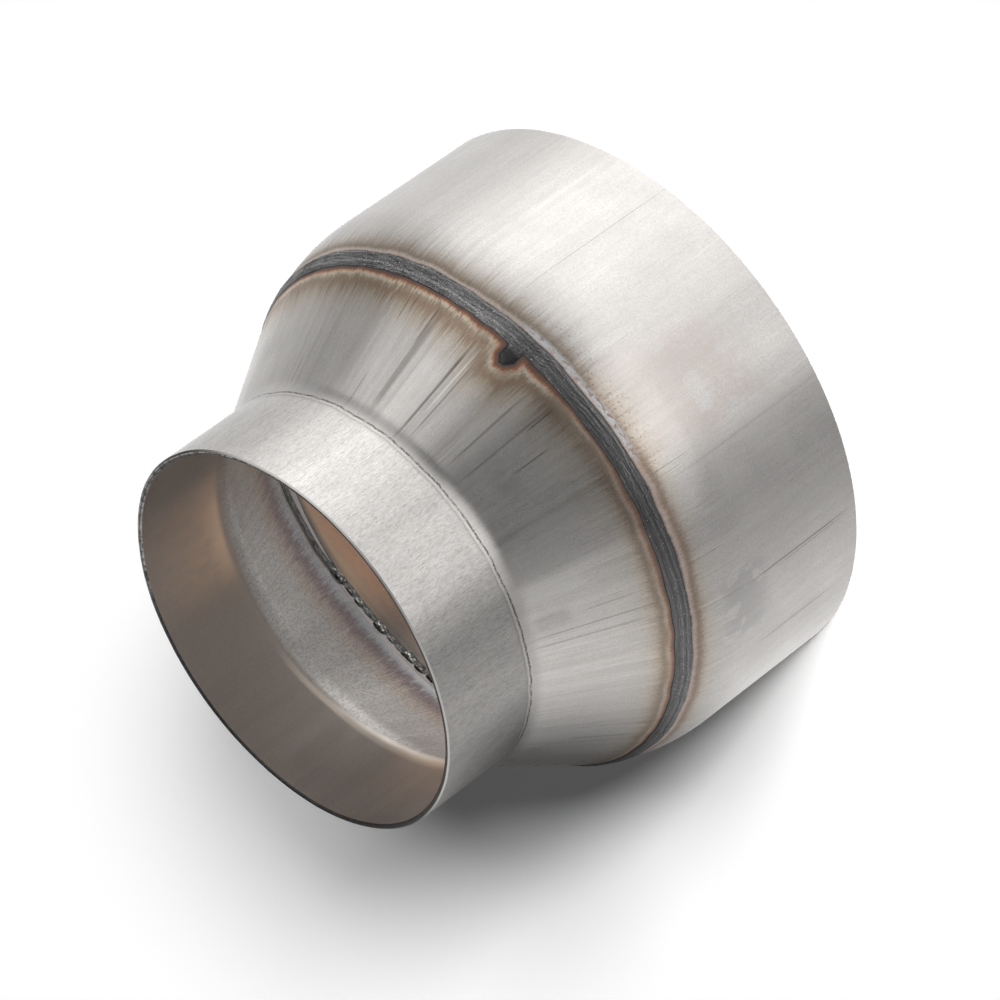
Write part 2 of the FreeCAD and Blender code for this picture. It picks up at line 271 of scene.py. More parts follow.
OUTSIDE = 0
INSIDE = 1
CUT = 2
SHELL_ROUNDS = 800

# Steps along the skins between the given places: first by the weld, then between the others
OUTER_STEPS = (22, 12)
INNER_STEPS = (18, 10)
DENT_DEPTH = 0.035 * MM
FACET_DEPTH = 0.012 * MM


def rows_along(places, first_steps, steps):
    """Places along the skin with so many steps between each two of those given."""
    counts = [first_steps] + [steps] * (len(places) - 2)
    parts = [np.linspace(a, b, n, endpoint=False) for a, b, n in zip(places, places[1:], counts)]
    return np.concatenate([*parts, places[-1:]])


def shell_piece(name, places, rim, weld_line, rng):
    """One tube's wall: outer skin from the weld to the rim, broken rim corners, and inner skin back."""
    rim_side = math.copysign(1.0, rim - places[0])
    places = [*places, rim - rim_side * RIM_BREAK]
    outer = rows_along(places, *OUTER_STEPS)
    inner = rows_along(places, *INNER_STEPS)[::-1]
    along = np.concatenate([outer, [rim, rim], inner])
    depth = np.concatenate([np.zeros(len(outer)), [RIM_BREAK, WALL - RIM_BREAK], np.full(len(inner), WALL)])
    slots = np.concatenate(
        [np.full(len(outer) - 1, OUTSIDE), [CUT] * 3, np.full(len(inner) - 1, INSIDE), [CUT]]
    )
    azimuth = all_round(SHELL_ROUNDS)
    uneven = DENT_DEPTH * ripple(rng, 2, 9, 8)(azimuth)
    uneven = uneven + FACET_DEPTH * ripple(rng, 14, 44, 16)(azimuth)
    radius, height = skin(along, depth - uneven)
    height[:, along == rim] = height[:, along == rim].mean()
    past_cap = weld_line.past_cap(azimuth, along)
    past_root = np.abs(along - weld_line.root(azimuth)) - ROOT_THIN
    edge = np.where(depth < WALL / 2, past_cap, past_root)
    edge[:, along == rim] = depth[along == rim]
    if rim_side < 0:
        radius, height, edge = radius[:, ::-1], height[:, ::-1], edge[:, ::-1]
        along, slots = along[::-1], np.roll(slots[::-1], -1)
    corner_rows = [i for i, s in enumerate(slots) if s == CUT or slots[i - 1] == CUT]
    return ring_mesh(name, radius, height, along, edge, slots, corner_rows)


WELD_ROUNDS = 1400
BAND_POINTS = 35
LUMP_POINTS = 9
ROOT_POINTS = 26

# Drops of the root bead that show in the mouth: azimuth in degrees, half length in mm, and fullness
SEEN_DROPS = [
    (84.6, 2.30, 0.95), (88.6, 1.50, 0.45), (91.6, 1.30, 0.60), (94.4, 1.20, 0.40), (98.4, 1.90, 1.00),
    (101.8, 1.10, 0.40), (104.2, 1.10, 0.30), (107.0, 2.00, 1.00), (110.6, 1.50, 0.85),
    (114.0, 1.40, 0.90),
]
SEEN_FROM = math.radians(56)
SEEN_TO = math.radians(116)


def root_drops(rng, azimuth):
    """How full the root bead is round the axis, 0 to 1, and how far its drops lean to a side, -1 to 1."""
    drops = [(math.radians(a), half * MM / LARGE_RADIUS, size) for a, half, size in SEEN_DROPS]
    place = SEEN_TO
    while place < SEEN_FROM + 2 * math.pi:
        half = rng.uniform(0.8, 2.1) * MM / LARGE_RADIUS
        drops.append((place, half, rng.choice([0.1, 0.25, 0.6, 1.0])))
        place += half * rng.uniform(1.2, 2.4)
    fullness = np.zeros_like(azimuth)
    lean = np.zeros_like(azimuth)
    for number, (place, half, size) in enumerate(drops):
        near = np.clip(1 - (turn_from(azimuth, place) / half) ** 2, 0, 1)
        fullness = np.maximum(fullness, size * np.sqrt(near))
        lean = lean + (-1) ** number * size * near
    return fullness, lean


def weld_piece(weld_line, rng):
    """The weld: ridged cap with the tack lump on its cone side, and the chain of drops of its root."""
    azimuth = all_round(WELD_ROUNDS)
    reach = np.maximum(weld_line.lump_reach(azimuth), LUMP_LEAST)
    lump = np.clip(reach / LUMP_SHOULDER, 0, 1)
    low_edge = weld_line.low_edge(azimuth)
    high_edge = weld_line.high_edge(azimuth)
    across = (1 - np.cos(np.linspace(0, math.pi, BAND_POINTS))) / 2
    out_along_lump = np.sin(np.linspace(0, math.pi / 2, LUMP_POINTS + 1))[1:]
    band_along = low_edge + (high_edge - low_edge) * across
    cap_along = np.concatenate([band_along, high_edge + reach * out_along_lump], 1)
    edge_gap = np.minimum(cap_along - low_edge, high_edge + reach - cap_along)
    past_band = cap_along - high_edge
    in_lump = -weld_line.past_lump(azimuth, past_band)
    edge_gap = np.where(past_band > 0, np.minimum(edge_gap, in_lump), edge_gap)
    rounded = np.clip(edge_gap / CAP_ROUNDING, 0, 1)
    rise = (CAP_CROWN + LUMP_RISE * lump) * np.sqrt(1 - (1 - rounded) ** 2) - CAP_SUNK
    for spacing, depth in CAP_RIDGES:
        drift = ripple(rng, 2, 30, 12)(azimuth) + 0.4 * ripple(rng, 40, 160, 20)(azimuth)
        ridge = np.sin(2 * math.pi * cap_along / (spacing * MM) + RIDGE_DRIFT * drift)
        fading = 1 + 0.8 * ripple(rng, 5, 90, 16)(azimuth)
        rise = rise + depth * MM * ridge * rounded * fading
    cap = skin(cap_along, -rise)

    fullness, lean = root_drops(rng, azimuth)
    bead = weld_line.root(azimuth) + DROP_LEAN * lean
    bead_half = ROOT_THIN + DROP_SWELL * fullness
    first = np.maximum(bead + bead_half, ROOT_WIDE)
    last = np.minimum(bead - bead_half, -ROOT_WIDE)
    root_along = first + (last - first) * np.linspace(0, 1, ROOT_POINTS)
    across = np.clip(np.abs(root_along - bead) / bead_half, 0, 1)
    sink = (DROP_LEAST + DROP_MORE * fullness) * MM * np.sqrt(1 - across**2) + ROOT_LIFT
    sink[:, [0, -1]] = -ROOT_TUCK
    root = skin(root_along, WALL + sink)

    radius, height = np.concatenate([cap, root], 2)
    along = np.concatenate([cap_along, root_along], 1)
    edge = np.concatenate([edge_gap, sink], 1)
    slots = np.repeat([OUTSIDE, INSIDE], [BAND_POINTS + LUMP_POINTS, ROOT_POINTS])
    return ring_mesh("weld_ring", radius, height, along, edge, slots, [])


class Graph:
    """A material's or the world's nodes, with short calls for the few kinds that are used here."""

    def __init__(self, owner):
        owner.use_nodes = True
        self.tree = owner.node_tree
        self.tree.nodes.clear()

    def node(self, kind, inputs=(), **settings):
        made = self.tree.nodes.new("ShaderNode" + kind)
        for key, value in settings.items():
            setattr(made, key, value)
        for key, value in dict(inputs).items():
            self.put(made.inputs[key], value)
        return made

    def put(self, socket, value):
        if isinstance(value, bpy.types.NodeSocket):
            self.tree.links.new(value, socket)
        else:
            socket.default_value = value

    def math(self, operation, *values):
        return self.node("Math", dict(enumerate(values)), operation=operation).outputs[0]

    def product(self, *values):
        result = values[0]
        for value in values[1:]:
            result = self.math("MULTIPLY", result, value)
        return result

    def vector(self, operation, *values, out=0):
        return self.node("VectorMath", dict(enumerate(values)), operation=operation).outputs[out]

    def span(self, value, low, high, to_low=0.0, to_high=1.0, smooth=False):
        """The value turned from one range into another and held within it."""
        made = self.node(
            "MapRange",
            {"Value": value, "From Min": low, "From Max": high, "To Min": to_low, "To Max": to_high},
            interpolation_type="SMOOTHSTEP" if smooth else "LINEAR",
        )
        return made.outputs["Result"]

    def ramp(self, value, stops):
        """A colour ramp from (position, colour) pairs."""
        made = self.node("ValToRGB", {"Fac": value})
        elements = made.color_ramp.elements
        while len(elements) < len(stops):
            elements.new(1.0)
        for element, (position, colour) in zip(elements, stops):
            element.position = position
            element.color = (*colour, 1.0)
        return made.outputs["Color"]

    def mix(self, factor, first, second, blend="MIX"):
        made = self.node("Mix", data_type="RGBA", blend_type=blend, clamp_factor=True)
        self.put(made.inputs[0], factor)
        for socket, value in ((made.inputs[6], first), (made.inputs[7], second)):
            self.put(socket, value if isinstance(value, bpy.types.NodeSocket) else (*value, 1.0))
        return made.outputs[2]

    def cover(self, colour, tone, *amounts):
        """The colour with a tone laid over it as strongly as the product of the amounts."""
        return self.mix(self.product(*amounts), colour, tone)

    def filtered(self, colour, other):
        return self.mix(1.0, colour, other, "MULTIPLY")

    def bump(self, height, strength, distance, normal=None):
        inputs = {"Height": height, "Strength": strength, "Distance": distance * MM}
        if normal is not None:
            inputs["Normal"] = normal
        return self.node("Bump", inputs).outputs["Normal"]


class Skin(Graph):
    """A graph for the object's metal, which knows where a point lies on the walls."""

    # The radius that makes millimetres round the axis of the noise's turns
    NOISE_RADIUS = 60.0

    def __init__(self, name):
        self.material = bpy.data.materials.new(name)
        super().__init__(self.material)
        self.lie = self.node("Attribute", attribute_name="lie").outputs["Vector"]
        split = self.node("SeparateXYZ", {0: self.lie})
        self.along_mm = self.math("MULTIPLY", split.outputs[2], 1000.0)
        turn = self.math("ARCTAN2", split.outputs[1], split.outputs[0])
        self.turn_deg = self.math("MULTIPLY", turn, 180 / math.pi)
        edge = self.node("Attribute", attribute_name="edge").outputs["Fac"]
        self.edge_mm = self.math("MULTIPLY", edge, 1000.0)

    def spread(self, round_mm, along_mm, detail=2.0, roughness=0.5, offset=0.0):
        """Noise without a seam, its features so many millimetres round the axis and along it."""
        turn = self.NOISE_RADIUS / round_mm
        scaled = self.vector("MULTIPLY", self.lie, (turn, turn, 1000.0 / along_mm))
        moved = self.vector("ADD", scaled, (offset, offset * 1.7, offset * 0.6))
        made = self.node(
            "TexNoise", {"Vector": moved, "Scale": 1.0, "Detail": detail, "Roughness": roughness}
        )
        return made.outputs["Fac"]

    def swing(self, noise, width):
        """Noise as a shift to either side, about this wide in all."""
        return self.math("MULTIPLY_ADD", noise, width * 2.5, -width * 1.25)

    def along(self, low, high, *to, smooth=False):
        """A span of the millimetres along the skin."""
        return self.span(self.along_mm, low, high, *to, smooth=smooth)

    def off_edge(self, low, high, *to):
        """A span of the millimetres from the weld's outline."""
        return self.span(self.edge_mm, low, high, *to)

    def toward(self, degrees):
        """1 on the side that faces this azimuth, -1 on the far side."""
        a = math.radians(degrees)
        return self.vector("DOT_PRODUCT", self.lie, (math.cos(a), math.sin(a), 0), out="Value")

    def side(self, degrees, low, high):
        """A smooth span of how much a point faces this azimuth."""
        return self.span(self.toward(degrees), low, high, smooth=True)

    def apart(self, value, place):
        """How far a value is from a place, to either side."""
        return self.math("ABSOLUTE", self.math("SUBTRACT", value, place))

    def line(self, value, place, half_width):
        """1 in a thin line where a value is close to a place."""
        return self.span(self.apart(value, place), half_width * 1.4, half_width / 3)

    def finish(self, colour, roughness, normal, anisotropic=0.0):
        inputs = {"Base Color": colour, "Metallic": 1.0, "Roughness": roughness, "Normal": normal}
        if anisotropic:
            tangent = self.node("Tangent", direction_type="RADIAL", axis="Z").outputs[0]
            inputs |= {"Anisotropic": anisotropic, "Tangent": tangent}
        shader = self.node("BsdfPrincipled", inputs)
        self.node("OutputMaterial", {"Surface": shader.outputs[0]})
        return self.material


STEEL = (0.622, 0.600, 0.580)
STEEL_INSIDE = (0.566, 0.551, 0.537)
STREAK = (0.17, 0.15, 0.135)
GLINT = (0.86, 0.84, 0.80)
SCALE = (0.90, 0.93, 0.97)

# Heat tint, as a multiplier of the steel's colour: millimetres from the weld's outline, then red, green
# and blue. On either side of the weld it differs between the lump's side and the seam side.
TINT_CONE_LUMP = [
    (0.00, 0.17, 0.15, 0.15), (0.25, 0.30, 0.23, 0.21), (0.55, 0.42, 0.23, 0.17),
    (0.85, 0.60, 0.33, 0.23), (1.10, 0.94, 0.62, 0.44), (1.35, 1.12, 0.90, 0.70),
    (1.65, 1.12, 0.99, 0.83), (1.95, 0.92, 0.83, 0.69), (2.25, 0.66, 0.58, 0.47),
    (2.80, 0.58, 0.46, 0.36), (3.60, 0.57, 0.42, 0.32), (4.50, 0.64, 0.54, 0.43),
    (5.80, 0.80, 0.72, 0.62), (8.00, 0.93, 0.89, 0.83), (12.0, 1.00, 1.00, 1.00),
]
TINT_CONE_SEAM = [
    (0.00, 0.24, 0.21, 0.20), (0.15, 0.34, 0.27, 0.25), (0.50, 0.50, 0.33, 0.26),
    (0.80, 0.68, 0.50, 0.41), (1.10, 0.79, 0.65, 0.55), (1.45, 0.70, 0.60, 0.51),
    (1.80, 0.52, 0.45, 0.39), (2.30, 0.53, 0.46, 0.39), (2.90, 0.66, 0.57, 0.48),
    (3.50, 0.77, 0.69, 0.60), (4.20, 0.86, 0.80, 0.72), (5.50, 0.94, 0.91, 0.86),
    (8.00, 0.98, 0.97, 0.95), (12.0, 1.00, 1.00, 1.00),
]
TINT_COLLAR_PALE = [
    (0.00, 0.25, 0.21, 0.20), (0.18, 0.58, 0.50, 0.47), (0.45, 0.90, 0.78, 0.71),
    (0.80, 0.86, 0.72, 0.66), (1.15, 0.70, 0.57, 0.50), (1.50, 0.57, 0.45, 0.38),
    (1.90, 0.57, 0.47, 0.40), (2.50, 0.70, 0.61, 0.53), (3.10, 0.85, 0.78, 0.70),
    (3.90, 0.93, 0.89, 0.83), (5.50, 0.98, 0.96, 0.93), (8.00, 1.00, 1.00, 1.00),
]
TINT_COLLAR_WIDE = [
    (0.00, 0.27, 0.22, 0.21), (0.15, 0.70, 0.61, 0.57), (0.35, 0.93, 0.82, 0.76),
    (0.65, 0.95, 0.86, 0.79), (1.00, 0.72, 0.62, 0.54), (1.35, 0.52, 0.43, 0.36),
    (1.85, 0.54, 0.46, 0.39), (2.50, 0.66, 0.59, 0.52), (3.40, 0.78, 0.73, 0.67),
    (4.40, 0.88, 0.86, 0.83), (5.90, 0.96, 0.95, 0.94), (7.60, 0.99, 0.985, 0.98),
    (10.0, 1.00, 1.00, 1.00),
]
ROOT_CONE_SIDE = [
    (0.00, 0.14, 0.13, 0.13), (0.50, 0.40, 0.37, 0.36), (1.20, 0.92, 0.89, 0.88),
    (1.80, 0.92, 0.92, 0.93), (3.00, 0.82, 0.86, 0.91), (4.20, 0.75, 0.75, 0.79),
    (5.40, 0.62, 0.56, 0.60), (6.60, 0.51, 0.42, 0.43), (8.20, 0.61, 0.49, 0.48),
    (11.0, 0.87, 0.74, 0.67), (14.0, 0.95, 0.87, 0.81), (18.0, 0.99, 0.97, 0.95),
]
ROOT_COLLAR_SIDE = [
    (0.00, 0.08, 0.08, 0.08), (0.30, 0.33, 0.31, 0.30), (0.90, 0.42, 0.37, 0.34),
    (1.60, 0.34, 0.29, 0.25), (3.00, 0.37, 0.31, 0.27), (4.60, 0.36, 0.28, 0.245),
    (6.20, 0.42, 0.31, 0.25), (8.00, 0.38, 0.27, 0.24), (14.0, 0.62, 0.52, 0.45),
]

# How polished the metal is round the axis, with painted reflection and shade: azimuth in degrees and tone,
# with steps where passes meet. The tones are partly real polish and partly painted reflection and shade,
# the metal lighter or darker where it reflects more or less light.
COLLAR_TONES = [
    (-180, 1.10), (-166, 1.10), (-156, 0.98), (-137, 0.98), (-134, 0.92), (-128, 0.99), (-114, 1.06),
    (-106.5, 0.97), (-105.7, 1.05), (-98, 1.03), (-86.3, 0.95), (-85.6, 1.07), (-66, 1.01),
    (-40.5, 1.01), (-34, 1.03), (0, 1.00), (180, 1.10),
]
CONE_TONES = [
    (-180, 1.00), (-158, 1.10), (-146, 1.14), (-122, 1.06), (-114.0, 1.15), (-112.6, 0.98),
    (-106, 0.97), (-100, 1.06), (-92, 1.13), (-82, 1.08), (-76, 1.06), (-63, 1.03), (-52, 1.02),
    (-42, 1.06), (-36, 0.98), (-14, 1.04), (180, 1.00),
]
SMALL_TONES = [
    (-180, 0.80), (-160, 0.76), (-146, 0.67), (-128, 0.71), (-118, 0.81), (-106, 0.91), (-103.5, 0.97),
    (-92, 0.93), (-82, 0.87), (-72, 0.95), (-56, 1.01), (-46, 0.95), (-36, 0.91), (-14, 0.92),
    (180, 0.80),
]
INSIDE_CONE_TONES = [
    (-180, 0.92), (0, 0.78), (64, 0.62), (82, 0.61), (92, 0.53), (102, 0.57), (112, 0.85), (128, 1.00),
    (150, 1.00), (180, 0.92),
]
INSIDE_SMALL_TONES = [
    (-180, 1.05), (0, 0.98), (56, 0.98), (68, 0.86), (100, 0.88), (112, 1.00), (130, 1.13),
    (150, 1.16), (180, 1.05),
]
WELD_TONES = [
    (-180, 1.00), (-142, 1.00), (-122, 0.86), (-112, 0.66), (-102, 0.84), (-80, 0.82), (-71, 0.66),
    (-63, 0.98), (-44, 1.04), (-28, 0.96), (180, 1.00),
]

# Draw marks and scratches, and painted highlights: azimuth in degrees, first and last place along the skin
# and half width in millimetres, and how dark (or, below 0, how bright) they are. The bright ones are painted
# highlights, lines and soft patches of reflected light.
CONE_MARKS = [
    (-62.5, 5.5, 32.5, 0.42, 0.88), (-64.3, 8.0, 24.0, 0.26, -0.70), (-65.6, 7.0, 30.0, 0.26, 0.55),
    (-52.0, 3.8, 31.5, 0.85, 0.55), (-51.3, 4.0, 14.0, 0.30, 0.50), (-77.8, 7.0, 28.0, 0.34, 0.52),
    (-83.6, 4.5, 12.0, 0.22, 0.65), (-82.8, 5.0, 30.0, 0.28, 0.45), (-89.1, 10.0, 20.0, 0.13, 0.80),
    (-38.0, 4.6, 31.0, 2.60, 0.16), (-45.6, 2.8, 9.0, 0.14, 0.60), (-43.9, 3.0, 11.0, 0.12, 0.50),
    (-40.4, 3.4, 12.0, 0.16, 0.40), (-45.0, 22.0, 31.5, 0.40, 0.30), (-22.0, 23.0, 30.0, 0.16, 0.40),
    (-131.4, 4.0, 32.0, 0.32, 0.30), (-128.7, 3.0, 32.0, 0.20, 0.40), (-125.0, 6.0, 20.0, 0.20, 0.30),
    (-168.5, 3.0, 22.0, 0.34, 0.32), (-117.0, 14.0, 31.0, 2.80, -0.30), (118.0, 6.0, 29.0, 0.40, 0.60),
    (20.0, 5.0, 26.0, 0.50, 0.40), (-58.0, 12.0, 32.0, 4.50, -0.20), (-45.5, 9.0, 26.0, 1.60, -0.16),
    (-124.5, 20.5, 29.5, 2.20, 0.20),
]
COLLAR_MARKS = [
    (-134.6, -48.0, -17.0, 0.19, 0.72), (-135.4, -48.0, -24.0, 0.12, 0.60),
    (-151.8, -44.0, -20.0, 0.40, 0.34), (-62.2, -52.0, -3.0, 0.10, 0.42),
    (-104.2, -14.0, -3.0, 0.12, 0.45), (-105.4, -12.0, -3.0, 0.10, 0.35),
    (-123.3, -13.0, -3.0, 0.12, 0.45), (-134.0, -17.0, -4.0, 0.12, 0.40),
    (-37.6, -12.0, -3.0, 0.12, 0.30), (-36.6, -52.0, -36.0, 0.10, 0.25),
    (-49.5, -50.0, -18.0, 0.60, -0.14), (62.0, -45.0, -18.0, 0.15, 0.60),
    (168.0, -40.0, -8.0, 0.13, 0.50), (-107.0, -50.0, -4.0, 0.35, 0.14),
]
# The share of a mark's length in which each of its ends fades in, and the radii at which widths are
# measured
MARK_FADE = 0.22
CONE_MARK_RADIUS = 52.0
COLLAR_MARK_RADIUS = 63.5


def shade(colour, part):
    return tuple(part * value for value in colour)


def lay_marks(g, colour, marks, radius_mm, draws):
    """The marks laid over a colour, the bright ones painted highlights. They wander a little with the draw
    marks.
    """
    wander = g.math("SUBTRACT", draws, 0.5)
    per_degree = radius_mm * math.pi / 180
    for azimuth, first, last, half_width, dark in marks:
        across = g.math("MULTIPLY_ADD", g.turn_deg, per_degree, -azimuth * per_degree)
        across = g.math("ABSOLUTE", g.math("MULTIPLY_ADD", wander, half_width * 2.0, across))
        line = g.span(across, half_width * 1.25, half_width / 3, 0, abs(dark), smooth=True)
        fade = (last - first) * MARK_FADE
        begins = g.along(first, first + fade)
        ends = g.along(last, last - fade)
        colour = g.cover(colour, STREAK if dark > 0 else GLINT, line, begins, ends)
    return colour


def tones(g, table):
    """The metal's tone at a point, from its azimuth: partly real polish, partly painted reflection and shade.
    """
    wander = g.swing(g.spread(3.0, 120, offset=41.0), 0.5)
    turned = g.span(g.math("ADD", g.turn_deg, wander), -180, 180)
    return g.ramp(turned, [((azimuth + 180) / 360, (tone,) * 3) for azimuth, tone in table])


def tint_ramp(g, distance, table):
    reach = table[-1][0]
    return g.ramp(g.span(distance, 0, reach), [(place / reach, colour) for place, *colour in table])


def tint_distance(g):
    """Distance from the weld as the tint's bands feel it: wider and narrower, feathered along draw marks."""
    feather = g.spread(0.5, 22, 3.0, 0.75, offset=5.0)
    clumps = g.spread(2.4, 60, 2.0, 0.6, offset=43.0)
    wobble = g.spread(2.6, 30, offset=2.0)
    glint_specks = g.spread(0.4, 0.6, 2.0, 0.6, offset=45.0)
    wide = g.span(g.spread(17, 90, 1.5, 0.5, offset=9.0), 0.32, 0.68, 1.45, 0.70)
    distance = g.math("MAXIMUM", g.edge_mm, 0.0)
    distance = g.product(distance, g.span(distance, 0.5, 4, wide, 1))
    reach = g.math("ADD", g.span(distance, 0.5, 2.2, 0.10, 1), g.span(distance, 2.2, 5, 0, 3.2))
    calmer = g.span(g.toward(-140), 0.2, 0.9, 1, 0.55)
    reach = g.product(reach, g.span(clumps, 0.35, 0.65, 0.5, 1.6), calmer)
    distance = g.math("ADD", distance, g.product(g.swing(feather, 1), reach))
    distance = g.math("ADD", distance, g.product(g.swing(glint_specks, 1), g.span(distance, 0.3, 2.5, 0.1, 0.8)))
    return g.math("ADD", distance, g.swing(wobble, 0.22))


def outside_tint(g, distance, lump_side, seam_side):
    """The outside's tint on one side of the weld."""
    lump_tint, seam_tint = (tint_ramp(g, distance, table) for table in (lump_side, seam_side))
    return g.mix(g.side(-150, 0.25, 0.62), lump_tint, seam_tint)


def cone_tint(g):
    """The tint on the cone, its pale band browner in places and with dark ticks by the lump."""
    distance = tint_distance(g)
    tint = outside_tint(g, distance, TINT_CONE_LUMP, TINT_CONE_SEAM)
    browner = g.product(
        g.span(distance, 0.9, 1.2),
        g.span(distance, 2.4, 2),
        g.span(g.spread(7, 1e5, 2, 0.6, offset=47.0), 0.50, 0.60),
    )
    tint = g.cover(tint, (0.60, 0.47, 0.37), browner, 0.7)
    ticks = g.product(
        g.span(g.spread(0.55, 14, 2, 0.6, offset=49.0), 0.53, 0.60),
        g.span(distance, 0.7, 1.1),
        g.span(distance, 2.6, 2),
        g.side(-50, 0.955, 0.985),
    )
    return g.cover(tint, (0.34, 0.22, 0.16), ticks, 0.55)


def root_tint(g):
    """The inside's tint."""
    distance = tint_distance(g)
    collar_side = tint_ramp(g, distance, ROOT_COLLAR_SIDE)
    cone_side = tint_ramp(g, distance, ROOT_CONE_SIDE)
    return g.mix(g.math("GREATER_THAN", g.along_mm, 0.0), collar_side, cone_side)


def steel_surface(g, base, rough, streaky, soiled):
    """Colour, roughness and bump of drawn and handled steel, before marks and tint."""
    draws = g.spread(1.3, 70, offset=3.0)
    bands = g.spread(7.5, 600, 1.0, 0.5, offset=7.0)
    narrow_bands = g.spread(2.4, 260, 1.0, 0.5, offset=8.0)
    grain = g.spread(0.30, 6, 3.0, 0.62)
    mottle = g.spread(0.38, 0.42, 3.0, 0.7, offset=12.0)
    flecks = g.spread(0.30, 1.3, 2.0, 0.72, offset=13.0)
    smudges = g.spread(1.3, 6, 2.0, 0.6, offset=14.0)
    cloud = g.spread(11, 11, 3.0, 0.62, offset=11.0)
    scratch = g.spread(0.22, 55, 1.0, 0.5, offset=17.0)
    broken = g.spread(3.0, 14, offset=19.0)

    colour = shade(base, 1.03)
    for noise, low, high, part, *amounts in (
        (draws, 0.36, 0.66, 0.86, streaky),
        (bands, 0.495, 0.515, 0.86, 0.25),
        (narrow_bands, 0.52, 0.56, 0.80, streaky, 0.32),
        (cloud, 0.35, 0.65, 0.84, 0.25),
        (grain, 0.50, 0.72, 0.64, streaky, 0.75),
        (mottle, 0.50, 0.68, 0.62, 0.34),
        (mottle, 0.46, 0.30, 1.25, 0.30),
        (flecks, 0.53, 0.66, 0.56, soiled, 0.70),
        (flecks, 0.43, 0.28, 1.24, soiled, 0.60),
        (smudges, 0.52, 0.66, 0.62, soiled, 0.26),
    ):
        colour = g.cover(colour, shade(base, part), g.span(noise, low, high), *amounts)
    lines = g.product(g.span(scratch, 0.70, 0.74), g.span(broken, 0.46, 0.58), streaky)
    colour = g.cover(colour, shade(base, 0.42), lines, 0.6)
    glints = g.product(g.span(scratch, 0.30, 0.26), g.span(broken, 0.54, 0.42), streaky)
    colour = g.cover(colour, GLINT, glints, 0.5)

    roughness = g.span(cloud, 0.3, 0.7, rough - 0.03, rough + 0.05)
    roughness = g.math("ADD", roughness, g.off_edge(0.2, 3.5, 0.16, 0))
    normal = g.bump(grain, 0.12, 0.05)
    normal = g.bump(draws, 0.12, 0.14, normal)
    normal = g.bump(mottle, 0.14, 0.05, normal)
    return colour, roughness, normal, draws


def forming_line(g, colour):
    """The frayed line that forming left where the small collar begins, with a painted highlight, and painted
    shade on the neck before it.
    """
    bend = g.swing(g.spread(15, 1e5, 3.0, 0.6, offset=21.0), 0.7)
    frayed = g.swing(g.spread(1.1, 3, 4.0, 0.75, offset=23.0), 0.30)
    there = g.span(g.spread(3, 1e5, 3, 0.7, offset=25.0), 0.36, 0.50, 0.40, 1)
    pieces = g.span(g.spread(0.5, 1.2, 2, 0.7, offset=26.0), 0.32, 0.46, 0.2, 1)
    moved = g.math("ADD", g.along_mm, g.math("ADD", bend, frayed))
    # Painted shade: the neck before the forming line is darkened.
    neck_shade = g.product(g.span(moved, 28.6, 31.2, smooth=True), g.span(moved, 34, 32.6, smooth=True))
    colour = g.cover(colour, shade(STEEL, 0.50), neck_shade, 0.34)
    # The middle of the three lines is a painted highlight; the others are dark lines of the forming.
    for place, half_width, tone, amount in (
        (31.9, 0.20, (0.08, 0.07, 0.065), 0.90),
        (32.4, 0.14, GLINT, 0.30),
        (32.9, 0.14, STREAK, 0.40),
    ):
        colour = g.cover(colour, tone, g.line(moved, place, half_width), there, pieces, amount)
    return colour


def stains(g, colour):
    """Grey blotches low on the collar's seam side, and a rosy bloom and a creamy one beside them."""
    cloud = g.spread(9, 9, 3.0, 0.62, offset=33.0)
    speckle = g.spread(0.5, 0.5, 2.0, 0.6, offset=35.0)
    blotches = g.product(
        g.side(-138, 0.986, 0.995),
        g.along(-26, -18, smooth=True),
        g.along(-7, -13, smooth=True),
        g.span(cloud, 0.46, 0.54, smooth=True),
    )
    colour = g.cover(colour, (0.36, 0.35, 0.345), blotches, 0.5)
    bloom = g.product(
        g.side(-95, 0.975, 0.995),
        g.along(-42, -33, smooth=True),
        g.along(-15, -21, smooth=True),
        g.span(cloud, 0.44, 0.58),
        g.span(speckle, 0.35, 0.6, 0.2, 1),
    )
    colour = g.cover(colour, (0.545, 0.482, 0.448), bloom, 0.85)
    cream = g.product(
        g.side(-93, 0.975, 0.995),
        g.along(-24, -14, smooth=True),
        g.span(speckle, 0.35, 0.6, 0.4, 1),
    )
    return g.cover(colour, (0.66, 0.59, 0.53), cream, 0.55)


def scale_flakes(g, colour):
    """Bluish white flakes of scale on the collar side of the weld, and brown crumbs beyond them."""
    flakes = g.product(
        g.side(-84, 0.950, 0.975),
        g.off_edge(0.2, 0.45),
        g.off_edge(2.1, 1.2),
        g.span(g.spread(1.3, 0.5, 3, 0.7, offset=37.0), 0.43, 0.50),
    )
    colour = g.cover(colour, shade(SCALE, 0.72), flakes, 0.85)
    crumbs = g.product(
        g.side(-85, 0.90, 0.97),
        g.off_edge(1.2, 2.2),
        g.off_edge(8.5, 3.5),
        g.span(g.spread(0.42, 0.55, 2, 0.6, offset=39.0), 0.60, 0.68),
    )
    return g.cover(colour, (0.20, 0.13, 0.10), crumbs, 0.7)


# Roughness and anisotropy of the steel, the same for both tubes
ROUGH_OUTSIDE, STRETCH_OUTSIDE = 0.27, 0.65
ROUGH_INSIDE, STRETCH_INSIDE = 0.36, 0.5


